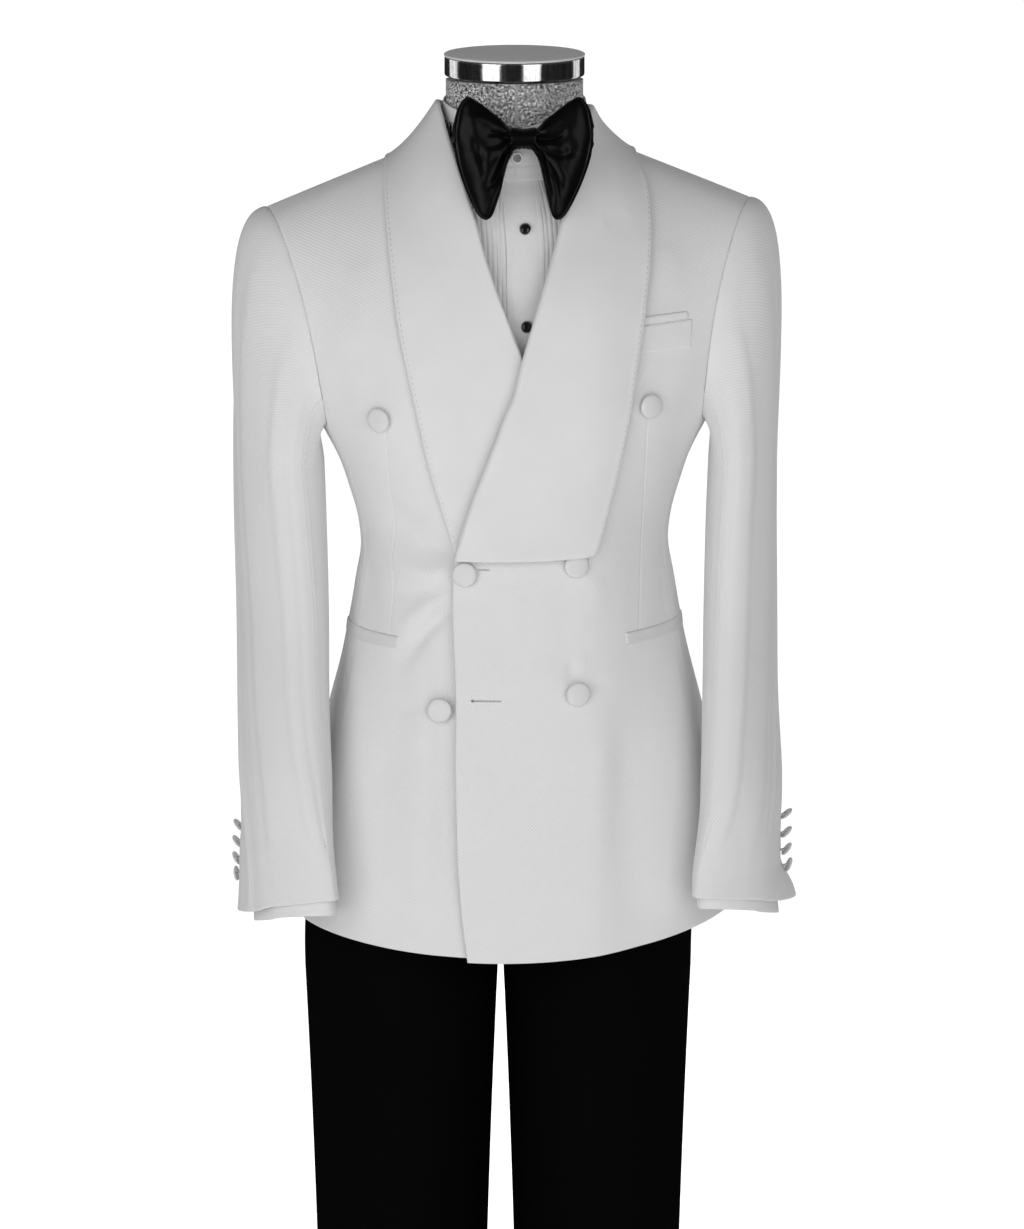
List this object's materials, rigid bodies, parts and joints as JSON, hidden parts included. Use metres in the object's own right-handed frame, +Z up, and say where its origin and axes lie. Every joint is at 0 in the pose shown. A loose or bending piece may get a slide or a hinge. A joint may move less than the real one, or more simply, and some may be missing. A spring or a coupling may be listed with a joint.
{
  "type": "tuxedo on a dress form",
  "caption": "Double-breasted shawl-lapel dinner suit with pleated shirt and bow tie, worn by a limbless dress form on a round stand.",
  "frame": {"origin": "on the floor, at the centre of the underside of the dress form's round stand", "axes": "+Z up; the front of the suit looks along -Y; +X is the wearer's left"},
  "size_m": [0.5512, 0.42, 1.6296],
  "materials": {
    "white_wool": "fine twill, matte",
    "white_satin": "matte satin",
    "black_wool": "fine plain wool, matte",
    "black_satin": "satin",
    "shirt_cotton": "cotton poplin, matte",
    "black_stud": "polished",
    "pearl_button": "pearly",
    "form_cloth": "heather weave",
    "chrome_band": "polished",
    "cap_plastic": "matte",
    "stand_steel": "brushed"
  },
  "bodies": {
    "root": {"back_left": "white_wool", "back_right": "white_wool", "bow_knot": "black_satin", "bow_neckband": "black_satin", "bow_wing_left_back": "black_satin", "bow_wing_left_front": "black_satin", "bow_wing_right_back": "black_satin", "bow_wing_right_front": "black_satin", "breast_insert": "white_satin", "breast_welt": "white_wool", "button_chest_left": "white_satin", "button_chest_right": "white_satin", "button_low_left": "white_satin", "button_low_right": "white_satin", "button_waist_left": "white_satin", "button_waist_right": "white_satin", "collar_button": "pearl_button", "collar_stand": "white_wool", "cuff_button_left_1": "white_satin", "cuff_button_left_2": "white_satin", "cuff_button_left_3": "white_satin", "cuff_button_left_4": "white_satin", "cuff_button_right_1": "white_satin", "cuff_button_right_2": "white_satin", "cuff_button_right_3": "white_satin", "cuff_button_right_4": "white_satin", "form_cap": "cap_plastic", "form_neck_band": "chrome_band", "form_rod_left": "stand_steel", "form_rod_right": "stand_steel", "form_stand": "stand_steel", "form_torso": "form_cloth", "front_left": "white_wool", "front_right": "white_wool", "hip_welt_left": "white_wool", "hip_welt_right": "white_wool", "lapel_left": "white_satin", "lapel_right": "white_satin", "shirt_back": "shirt_cotton", "shirt_collar": "shirt_cotton", "shirt_cuff_left": "shirt_cotton", "shirt_cuff_right": "shirt_cotton", "shirt_front_left": "shirt_cotton", "shirt_front_right": "shirt_cotton", "shirt_placket": "shirt_cotton", "shirt_sleeve_left": "shirt_cotton", "shirt_sleeve_right": "shirt_cotton", "shirt_stud_lower": "black_stud", "shirt_stud_upper": "black_stud", "side_left": "white_wool", "side_right": "white_wool", "top_sleeve_left": "white_wool", "top_sleeve_right": "white_wool", "trouser_left_back": "black_wool", "trouser_left_front": "black_wool", "trouser_right_back": "black_wool", "trouser_right_front": "black_wool", "under_sleeve_left": "white_wool", "under_sleeve_right": "white_wool", "waistband": "black_wool"}
  },
  "joints": []
}
